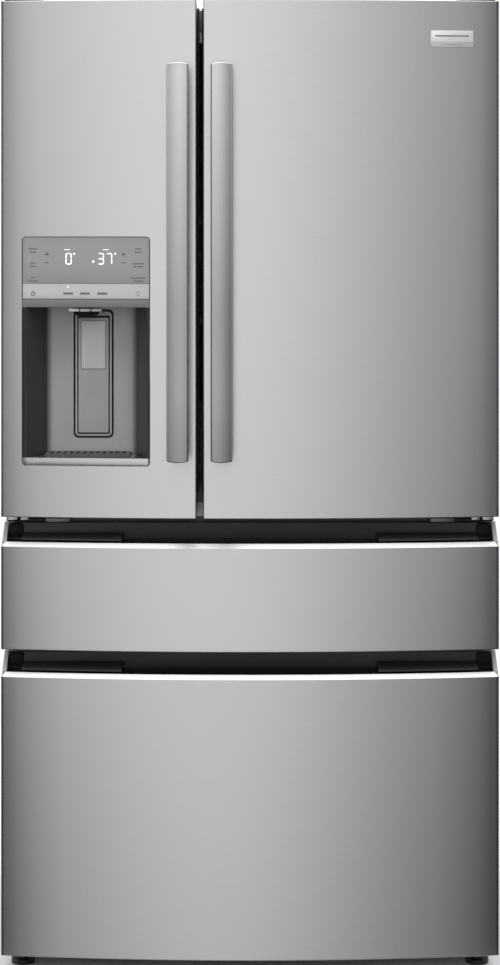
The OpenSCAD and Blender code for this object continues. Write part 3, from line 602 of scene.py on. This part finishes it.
def bar_section(half, inner, shrink):
    """Bar section in x and y with its front near y 0: shallow crown that leans to the inner side."""
    wide, narrow, tail = 3.0 * MM, 1.2 * MM, 2.5 * MM
    out = []
    for k in range(17):
        x = -half + narrow + (2 * half - narrow - wide) * k / 16
        out.append((x, CROWN_CURVE * (x - CROWN_X) ** 2))
    side_y = out[-1][1] + wide
    out += arc_points(half - wide, side_y, wide, -84, 0, 6)
    out += arc_points(half - tail, BAR_T - tail, tail, 0, 90, 4)
    out += arc_points(-half + tail, BAR_T - tail, tail, 90, 180, 4)
    out += arc_points(-half + narrow, out[0][1] + narrow, narrow, 180, 262, 4)
    scale = 1 - shrink / half
    middle = BAR_T / 2
    return [(x * inner * scale, middle + (y - middle) * scale) for x, y in out]


END_BOW = 2.6 * MM
END_EASE = 1.6 * MM
BOW_REACH = 9 * MM


def bar_levels(z0, z1):
    """Height, shrinkage and bow of each section: both ends are eased and curve outwards in the middle."""
    angles = [math.pi / 2 * k / 5 for k in range(6)]
    levels = [(z0 + END_EASE * (1 - math.cos(a)), END_EASE * (1 - math.sin(a)), END_BOW) for a in angles]
    levels += [(z0 + END_EASE + SUPPORT, 0, END_BOW), (z0 + BOW_REACH, 0, 0)]
    return levels + [(z0 + z1 - z, shrink, -rise) for z, shrink, rise in levels[::-1]]


def bar_handle(name, body, inner):
    low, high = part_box(name)
    mid_x = (low.x + high.x) / 2
    half = (high.x - low.x) / 2
    sections = []
    for z, shrink, rise in bar_levels(low.z, high.z):
        outline = bar_section(half, inner, shrink)
        sections.append([(mid_x + x, low.y + y, z + rise * (x / half) ** 2) for x, y in outline])
    bar = piece(name + "_bar", *loft(sections), STEEL_BAR, body, "steel_handle", 0.7)
    bar.data.materials.append(BAR_BACK_PAINTED_LIGHT)
    # the bar's back faces take the pale colour, as painted light in the door's reflection
    for face in bar.data.polygons:
        if face.normal.y > 0.3:
            face.material_index = 1
    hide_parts(name)
    reach = front_y(mid_x)
    neck = ((low.y + BAR_T - 1 * MM, 10 * MM), (reach - 5 * MM, 10 * MM), (reach - 2.5 * MM, 12 * MM),
            (reach + 0.4 * MM, 12.5 * MM))
    for tag, z in (("lower", low.z + POST_IN), ("upper", high.z - POST_IN)):
        rings = [[(px, y, pz) for px, pz in circle(mid_x, z, radius, 32)] for y, radius in neck]
        piece(f"{name}_{tag}_post", *loft(rings), STEEL_BAR, body, "steel_handle", 0.7)


bar_handle("left_handle", "left_door", 1)
bar_handle("right_handle", "right_door", -1)

# ---------------------------------------------------------------- badge plate
badge_low, badge_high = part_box("badge_plate")
BADGE_PROUD = 1.2 * MM
BADGE_HIGH = badge_high.z - badge_low.z
tint(BADGE, "Z", badge_high.z, (0.64 * BADGE_HIGH, 0.67 * BADGE_HIGH), 0.80)
badge_shape = rounded_rectangle(badge_low.x, badge_high.x, badge_low.z, badge_high.z, 1.5 * MM)
badge_slab = plate(badge_shape, lambda x: front_y(x) - BADGE_PROUD, 1.15 * MM, 0.5 * MM)
badge = piece("badge_plate_face", *badge_slab, BADGE, "right_door", "badge_metal")
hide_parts("badge_plate")
for name, level, tall, inset, look in (("badge_bar", 0.68, 2.4 * MM, 8 * MM, MARK_SOFT),
                                       ("badge_line", 0.17, 0.8 * MM, 19 * MM, CAP_GREY)):
    mark_z = badge_low.z + level * BADGE_HIGH
    mark_shape = rounded_rectangle(badge_low.x + inset, badge_high.x - inset,
                                   mark_z - tall / 2, mark_z + tall / 2, 0.35 * MM)
    mark = plate(mark_shape, lambda x: front_y(x) - BADGE_PROUD - 0.1 * MM, 0.3 * MM)
    piece(name, *mark, look, "right_door", "badge_metal")

# ---------------------------------------------------------------- pocket grips and lower hinges
GRIP_WALL_X = 418 * MM
GRIP_BACK = EDGE_Y + 52 * MM
CHEEK_FRONT = GRIP_BACK - 9 * MM
CHEEK_X = 445.8 * MM
SCOOP_X = 234 * MM
LEDGE_IN = 12 * MM


def grip(body):
    """Black lining of one pocket grip: rear wall, a ledge each side of the scoop, and a cheek at each end."""
    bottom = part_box(body + "_front")[1].z
    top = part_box(body + "_grip")[1].z
    shade = moulded(body + "_grip_wall", (0.034, 0.034, 0.035), 0.42, pebble=700.0)
    # painted shade: the rear wall darkens upwards, into the pocket
    tint(shade, "Z", bottom, (0.0, 0.030), 0.58)
    outline = rounded_rectangle(-GRIP_WALL_X, GRIP_WALL_X, bottom + 0.6 * MM, top - 0.2 * MM, 1 * MM)
    piece(body + "_grip_wall", *plate(outline, lambda x: GRIP_BACK - 0.6 * MM, 0.5 * MM), shade, body,
          "black_plastic")
    slope = ((bottom + 3.2 * MM, LEDGE_IN), (bottom + 5.6 * MM, LEDGE_IN),
             (bottom + 11 * MM, LEDGE_IN + 32 * MM))
    for side, tag in ((-1, "left"), (1, "right")):
        x0, x1 = sorted((side * SCOOP_X, side * GRIP_WALL_X))
        block = front_block(x0, x1, GRIP_BACK - 0.7 * MM, slope)
        ledge = piece(f"{body}_{tag}_ledge", *block, GRIP_LEDGE, body, "black_plastic")
        soften_edges(ledge, 0.4 * MM, 2)
        x0, x1 = sorted((side * (GRIP_WALL_X + 0.6 * MM), side * CHEEK_X))
        cheek = rounded_rectangle(x0, x1, bottom + 3 * MM, top - 0.4 * MM, 5 * MM)
        piece(f"{body}_{tag}_cheek", *plate(cheek, lambda x: CHEEK_FRONT, 8.8 * MM, 1 * MM), GRIP_CHEEK, body,
              "black_plastic")


grip("middle_drawer")
grip("freezer_drawer")

# the arm and stop take the light hinge zinc, the step its darker copy as painted shade
# hinge pieces seen under each door: sides nearer to and farther from the middle, bottom, top and front
HINGE_PARTS = (("arm", 426 * MM, 446 * MM, 828.6 * MM, 834.4 * MM, -289.5 * MM, HINGE_LIGHT),
               ("stop", 406 * MM, 421 * MM, 828.6 * MM, 834.4 * MM, -289.5 * MM, HINGE_LIGHT),
               ("step", 329 * MM, 374 * MM, 826.5 * MM, 832.5 * MM, -300.2 * MM, HINGE_STEP_SHADED))
for side, tag in ((-1, "left"), (1, "right")):
    for part, near, far, z0, z1, y, look in HINGE_PARTS:
        x0, x1 = sorted((side * near, side * far))
        shape = plate(rounded_rectangle(x0, x1, z0, z1, 1.5 * MM), lambda x: y, 24 * MM, 0.6 * MM)
        piece(f"{tag}_hinge_{part}", *shape, look, "cabinet", "zinc_steel")

# the block that guides the mullion, seen at the foot of the gap between the doors
GUIDE_X = (-100.5 * MM, -81.5 * MM)
GUIDE_Z = 829 * MM
for name, top, y, look in (("mullion_guide_plate", 884 * MM, -230.0 * MM, GUIDE_DARK),
                           ("mullion_guide_pad", 853.5 * MM, -231.4 * MM, GUIDE_GREY)):
    shape = plate(rounded_rectangle(*GUIDE_X, GUIDE_Z, top, 1 * MM), lambda x: y, 1.4 * MM)
    piece(name, *shape, look, "cabinet", "black_plastic")

# ---------------------------------------------------------------- dispenser
house_low, house_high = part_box("dispenser_housing")
panel_low, panel_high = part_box("dispenser_panel")
paddle_low, paddle_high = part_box("dispenser_paddle")
CAVE_Z = (945 * MM, 1219 * MM)
CAVE_BACK = -254 * MM
CAVE_FRONT = -345 * MM
LIP_Z = 1234 * MM
SKIN_IN = 0.3 * MM
POCKET_IN = 8.4 * MM

# surround, with the cavity and the paddle's recess cut out of it
surround_levels = ((house_low.z, SKIN_IN), (CAVE_Z[0], SKIN_IN), (CAVE_Z[1], SKIN_IN),
                   (LIP_Z - 5 * MM, SKIN_IN), (LIP_Z, SKIN_IN + 1 * MM), (LIP_Z + 0.1 * MM, POCKET_IN),
                   (house_high.z, POCKET_IN))
housing = piece("dispenser_surround", *front_block(house_low.x, house_high.x, house_high.y, surround_levels),
                HOUSING, "left_door", "dispenser_grey")
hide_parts("dispenser_housing")
cave_plan = [(house_low.x + 5.5 * MM, CAVE_FRONT), (house_low.x + 5.5 * MM, -316 * MM)]
cave_plan += curve((-383 * MM, -268 * MM), (-376 * MM, -255.5 * MM), (-362 * MM, CAVE_BACK), 8)
cave_plan += curve((-231 * MM, CAVE_BACK), (-217 * MM, -255.5 * MM), (-211 * MM, -268 * MM), 8)
cave_plan += [(house_high.x - 5.5 * MM, -319 * MM), (house_high.x - 5.5 * MM, CAVE_FRONT)]
carve(housing, *loft([[(x, y, z) for x, y in cave_plan] for z in CAVE_Z]))
RECESS_Z = (976 * MM, 1213 * MM)
recess = rounded_rectangle(-326 * MM, -252 * MM, *RECESS_Z, 9 * MM)
carve(housing, *through(recess, CAVE_BACK - 6 * MM, CAVE_BACK + 20 * MM))
soften_edges(housing, 1.2 * MM, 3, 0.5)
for look in (CAVE, TRAY, FRAME_BLACK):
    housing.data.materials.append(look)
# painted shade: faces of the paddle's recess behind the back wall take the dark tray grey; the cavity's faces
# take the cavity grey with its painted shade, and faces at the opening's front edge are black
for face in housing.data.polygons:
    spot = face.center
    if spot.y > CAVE_BACK + 0.7 * MM and RECESS_Z[0] - 11 * MM < spot.z < RECESS_Z[1] + 2 * MM:
        face.material_index = 2
    elif CAVE_Z[0] - MM < spot.z < CAVE_Z[1] + MM:
        face.material_index = 1 if spot.y > front_y(spot.x) + 3 * MM else 3


def around_housing(out, radius):
    """Outline that runs round the housing, the given distance outside it."""
    return rounded_rectangle(house_low.x - out, house_high.x + out,
                             house_low.z - out, house_high.z + out, radius)


# painted shade: a black ring set behind the gap round the housing, so that the gap reads dark
gap_shade_slab = plate(around_housing(2.4 * MM, 8 * MM), lambda x: front_y(x) + 1.05 * MM, 2 * MM)
gap_shade = piece("dispenser_gap_shade", *gap_shade_slab, RUBBER, "left_door", "gasket_rubber")
carve(gap_shade, *through(around_housing(-1 * MM, 4 * MM), IN_FRONT, house_high.y))

# paddle: fixed frame, lever and its pale pad
frame_outline = rounded_rectangle(-322.5 * MM, -255.5 * MM, 979.5 * MM, 1209.5 * MM, 7 * MM)
frame_hole = rounded_rectangle(-319.2 * MM, -258.8 * MM, 982.9 * MM, 1202.1 * MM, 2 * MM)
frame_slab = plate(frame_outline, lambda x: CAVE_BACK - 3 * MM, 9 * MM, 1 * MM)
paddle_frame = piece("paddle_frame", *frame_slab, PADDLE, "left_door", "dispenser_grey")
carve(paddle_frame, *through(frame_hole, CAVE_BACK - 9 * MM, CAVE_BACK + 12 * MM))
finish_normals(paddle_frame, 0.5)

LEVER_Y = -258.6 * MM
PAD_Z = (1104 * MM, 1192 * MM)
BORDER = 1.3 * MM


def on_paddle(name, margin, z0, z1, radius, proud, thickness, round_by, look):
    """A plate on the paddle's front, as wide as the paddle less a margin each side."""
    outline = rounded_rectangle(paddle_low.x + margin, paddle_high.x - margin, z0, z1, radius)
    slab = plate(outline, lambda x: LEVER_Y - proud, thickness, round_by)
    return piece(name, *slab, look, "paddle", "dispenser_grey")


lever = on_paddle("paddle_lever", 0.3 * MM, paddle_low.z, paddle_high.z - 1 * MM,
                  2 * MM, 0, 4.5 * MM, 0.6 * MM, PADDLE)
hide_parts("dispenser_paddle")
on_paddle("pad_border", 4.7 * MM, PAD_Z[0] - BORDER, PAD_Z[1] + BORDER,
          3.2 * MM, 0.6 * MM, 0.7 * MM, 0, HOUSING)
on_paddle("paddle_pad", 6 * MM, *PAD_Z, 2.5 * MM, 1.4 * MM, 1.5 * MM, 0.6 * MM, PADDLE_PAD)

# chute above the paddle, the sill in front of the tray, and the panel in two shades
CHUTE_X, CHUTE_Y = -300 * MM, -292 * MM
chute = ((1217 * MM, 25 * MM), (1208 * MM, 24 * MM), (1204 * MM, 21 * MM), (1204 * MM, 16 * MM),
         (1212 * MM, 14 * MM))
rings = [[(x, y, z) for x, y in circle(CHUTE_X, CHUTE_Y, radius, 40)] for z, radius in chute]
piece("ice_chute", *loft(rings), BLACK, "left_door", "black_plastic")
for k in range(3):
    x = CHUTE_X + (k - 1) * 20.5 * MM
    tab = rounded_rectangle(x - 9.4 * MM, x + 9.4 * MM, 1211.5 * MM, 1216.5 * MM, 1 * MM)
    piece(f"chute_tab_{k}", *plate(tab, lambda x: -320 * MM, 8 * MM, 0.6 * MM), ICON_BAR, "left_door",
          "dispenser_grey")

sill_levels = ((house_low.z + 0.6 * MM, 0.2 * MM), (CAVE_Z[0] + 0.3 * MM, 0.2 * MM))
sill_block = front_block(house_low.x + 2 * MM, house_high.x - 2 * MM, -300 * MM, sill_levels)
sill = piece("dispenser_sill", *sill_block, STEEL_SILL, "left_door", "steel_handle")
soften_edges(sill, 1.0 * MM, 3)

BAR_TOP = 1262.6 * MM
PANEL_IN = 0.4 * MM
for name, z0, z1, look in (("display_plate", BAR_TOP + 0.3 * MM, panel_high.z, DISPLAY),
                           ("icon_plate", panel_low.z, BAR_TOP - 0.3 * MM, ICON_BAR)):
    levels = ((z0, PANEL_IN), (z1, PANEL_IN))
    block = front_block(panel_low.x, panel_high.x, panel_high.y, levels)
    made = piece(name, *block, look, "left_door", "panel_glass")
    soften_edges(made, 0.5 * MM, 2)
    if name == "display_plate":
        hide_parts("dispenser_panel")


# marks on the panel: lit digits, plus and minus signs, and plain dashes in place of words
def marks(name, outlines, look):
    """One piece of flat marks that follow the panel's bow."""
    verts, faces = [], []
    for outline in outlines:
        new_verts, new_faces = plate(outline, lambda x: front_y(x, PANEL_IN) - 0.12 * MM, 0.2 * MM)
        faces += [tuple(i + len(verts) for i in face) for face in new_faces]
        verts += new_verts
    piece(name, verts, faces, look, "left_door", "panel_glass")


def dash(x, z, w, h):
    return [(x - w / 2, z - h / 2), (x + w / 2, z - h / 2), (x + w / 2, z + h / 2), (x - w / 2, z + h / 2)]


SEGMENTS = {"0": "abcdef", "3": "abcdg", "7": "abc"}


def digit(char, x, z, w, h):
    """Seven-segment outlines of one digit, centred at x,z."""
    t = w * 0.2
    places = {"a": (0, h / 2, 1), "g": (0, 0, 1), "d": (0, -h / 2, 1), "b": (w / 2, h / 4, 0),
              "c": (w / 2, -h / 4, 0), "f": (-w / 2, h / 4, 0), "e": (-w / 2, -h / 4, 0)}
    out = []
    for s in SEGMENTS[char]:
        px, pz, flat = places[s]
        half = (w if flat else h / 2) / 2 - t * 0.18
        shape = [(-half, 0), (-half + t / 2, -t / 2), (half - t / 2, -t / 2),
                 (half, 0), (half - t / 2, t / 2), (-half + t / 2, t / 2)]
        if not flat:
            shape = [(-b, a) for a, b in shape]
        out.append([(x + px + a, z + pz + b) for a, b in shape])
    return out


DIGIT_Z = 1307.6 * MM
DIGIT_SIZE = (9.5 * MM, 19 * MM)
lit = []
for char, x in (("0", -330 * MM), ("3", -271 * MM), ("7", -256 * MM)):
    lit += digit(char, x, DIGIT_Z, *DIGIT_SIZE)
lit += [circle(x, DIGIT_Z + 9 * MM, 1.6 * MM) for x in (-320 * MM, -245 * MM)]
lit += [dash(x, DIGIT_Z + 16.5 * MM, 11 * MM, 1.0 * MM) for x in (-333 * MM, -262 * MM)]
lit.append(circle(-285 * MM, DIGIT_Z - 5 * MM, 2.0 * MM))
lit.append(circle(-331 * MM, 1256.4 * MM, 1.3 * MM))
marks("lit_marks", lit, MARK_LIT)

# plain dashes: middle, height and width of each in millimetres, a column at each side of the display
LABELS = ((-396, 1325.6, 16), (-396, 1319.6, 13), (-396, 1299.6, 9), (-396, 1293.6, 13), (-396, 1273.6, 7),
          (-396, 1267.2, 19), (-203, 1325.6, 11), (-203, 1319.6, 13), (-203, 1298.8, 21), (-203, 1293.2, 18),
          (-203, 1272.8, 27), (-203, 1267.2, 19))
ICON_Z = 1244.4 * MM
soft = [dash(x * MM, z * MM, width * MM, 2.5 * MM) for x, z, width in LABELS]
soft += [dash(x * MM, ICON_Z, width * MM, 4.2 * MM) for x, width in ((-331, 18), (-300, 17), (-268.5, 18))]
marks("label_marks", soft, MARK_SOFT)

# plus and minus signs, then a lock made of dashes and a bulb made of dots
PLUS_Z, MINUS_Z = 1315.7 * MM, 1300.3 * MM
LOCK_X, BULB_X = -395.3 * MM, -203.5 * MM
ink = []
for x in (-370 * MM, -229.5 * MM):
    ink += [dash(x, PLUS_Z, 8 * MM, 1.2 * MM), dash(x, PLUS_Z, 1.2 * MM, 8 * MM),
            dash(x, MINUS_Z, 7.5 * MM, 1.2 * MM)]
for dx, dz, w, h in ((0, -3.6, 7, 1), (0, 0.6, 7, 1), (-3.1, -1.5, 1, 5), (3.1, -1.5, 1, 5),
                     (-2, 2.4, 0.9, 3.2), (2, 2.4, 0.9, 3.2), (0, 4.1, 4.6, 0.9)):
    ink.append(dash(LOCK_X + dx * MM, ICON_Z + dz * MM, w * MM, h * MM))
ink += [circle(x, z, 0.55 * MM, 8) for x, z in circle(BULB_X, ICON_Z + 1 * MM, 3.2 * MM, 12)]
ink.append(dash(BULB_X, ICON_Z - 4 * MM, 3 * MM, 1 * MM))
marks("ink_marks", ink, MARK_DARK)

# ---------------------------------------------------------------- stage, world and lights
# the floor stops just ahead of the feet, so that it isn't mirrored in the steel
FLOOR_FRONT, FLOOR_BACK, FLOOR_SIDE = -0.34, 1.7, 1.7
floor_mesh = bpy.data.meshes.new("floor")
floor_mesh.from_pydata([(-FLOOR_SIDE, FLOOR_FRONT, 0), (FLOOR_SIDE, FLOOR_FRONT, 0),
                        (FLOOR_SIDE, FLOOR_BACK, 0), (-FLOOR_SIDE, FLOOR_BACK, 0)], [], [(0, 1, 2, 3)])
floor = bpy.data.objects.new("floor", floor_mesh)
bpy.context.scene.collection.objects.link(floor)
floor_look = moulded("floor_pale", (0.84, 0.84, 0.84), 0.7, pebble=80.0, depth=0.05, spread=0.01)
floor.data.materials.append(floor_look)

world = bpy.data.worlds.new("studio")
bpy.context.scene.world = world
world.use_nodes = True
sky = world.node_tree
place = node(sky, "ShaderNodeTexCoord")
split = node(sky, "ShaderNodeSeparateXYZ")
sky.links.new(place.outputs["Generated"], split.inputs["Vector"])


def math_node(operation, first, second=None):
    """Applies one operation to sockets or numbers, and returns the result's socket."""
    made = node(sky, "ShaderNodeMath", operation=operation)
    for k, value in enumerate((first, second)):
        if value is None:
            continue
        if isinstance(value, (int, float)):
            made.inputs[k].default_value = value
        else:
            sky.links.new(value, made.inputs[k])
    return made.outputs[0]


def smooth_step(value, low, high):
    made = node(sky, "ShaderNodeMapRange", interpolation_type="SMOOTHSTEP")
    sky.links.new(value, made.inputs["Value"])
    made.inputs["From Min"].default_value = low
    made.inputs["From Max"].default_value = high
    return made.outputs["Result"]


def blend_to(factor, first, second):
    """first where the factor is 0, second where it is 1."""
    keep = math_node("MULTIPLY", first, math_node("SUBTRACT", 1.0, factor))
    return math_node("ADD", keep, math_node("MULTIPLY", factor, second))


# one tall soft panel in front, fading down and aside; grey at the sides, pale behind and overhead
# (angles round the refrigerator are in radians, the other spans are shares of a direction's length)
PANEL_AZIMUTH = -0.10
PANEL_WIDTH = 0.30
PANEL_LEVEL = 1.13
SIDE_LEVEL = 0.08
WIDE_LEVEL = 0.40
WIDE_SPAN = (0.75, 1.25)
LOW_FADE = 5.2
LOW_START = 0.09
LOW_ASIDE = 21
LOW_LEVEL = 0.05
BACK_LEVEL = 1.0
BACK_SPAN = (0.70, 0.92)
TOP_LEVEL = 1.7
TOP_SPAN = (0.5, 0.8)
azimuth = math_node("ARCTAN2", split.outputs["X"], math_node("MULTIPLY", split.outputs["Y"], -1.0))
away = math_node("DIVIDE", math_node("SUBTRACT", azimuth, PANEL_AZIMUTH), PANEL_WIDTH)
peak = math_node("EXPONENT", math_node("MULTIPLY", math_node("MULTIPLY", away, away), -0.5))
below = math_node("MINIMUM", math_node("ADD", split.outputs["Z"], LOW_START), 0.0)
aside = math_node("ADD", math_node("MULTIPLY", math_node("MULTIPLY", azimuth, azimuth), LOW_ASIDE), 1.0)
fade = math_node("MULTIPLY", math_node("MULTIPLY", math_node("MULTIPLY", below, below), LOW_FADE), aside)
facing = math_node("ADD", math_node("MULTIPLY", peak, PANEL_LEVEL), SIDE_LEVEL)
beside = smooth_step(math_node("ABSOLUTE", azimuth), *WIDE_SPAN)
facing = math_node("ADD", facing, math_node("MULTIPLY", beside, WIDE_LEVEL))
facing = math_node("MAXIMUM", math_node("SUBTRACT", facing, fade), LOW_LEVEL)
level = blend_to(smooth_step(split.outputs["Y"], *BACK_SPAN), facing, BACK_LEVEL)
level = blend_to(smooth_step(split.outputs["Z"], *TOP_SPAN), level, TOP_LEVEL)
background = sky.nodes["Background"]
background.inputs["Color"].default_value = (1, 1, 1, 1)
sky.links.new(level, background.inputs["Strength"])


def softbox(name, at, aim, size, power):
    """Square area light at a point, facing another."""
    data = bpy.data.lights.new(name, "AREA")
    data.size = size
    data.energy = power
    made = bpy.data.objects.new(name, data)
    made.location = at
    made.rotation_euler = (Vector(aim) - Vector(at)).to_track_quat("-Z", "Y").to_euler()
    bpy.context.scene.collection.objects.link(made)


softbox("overhead", (0, -1.2, 4.2), (0, -0.6, 0.6), 3.0, 40)
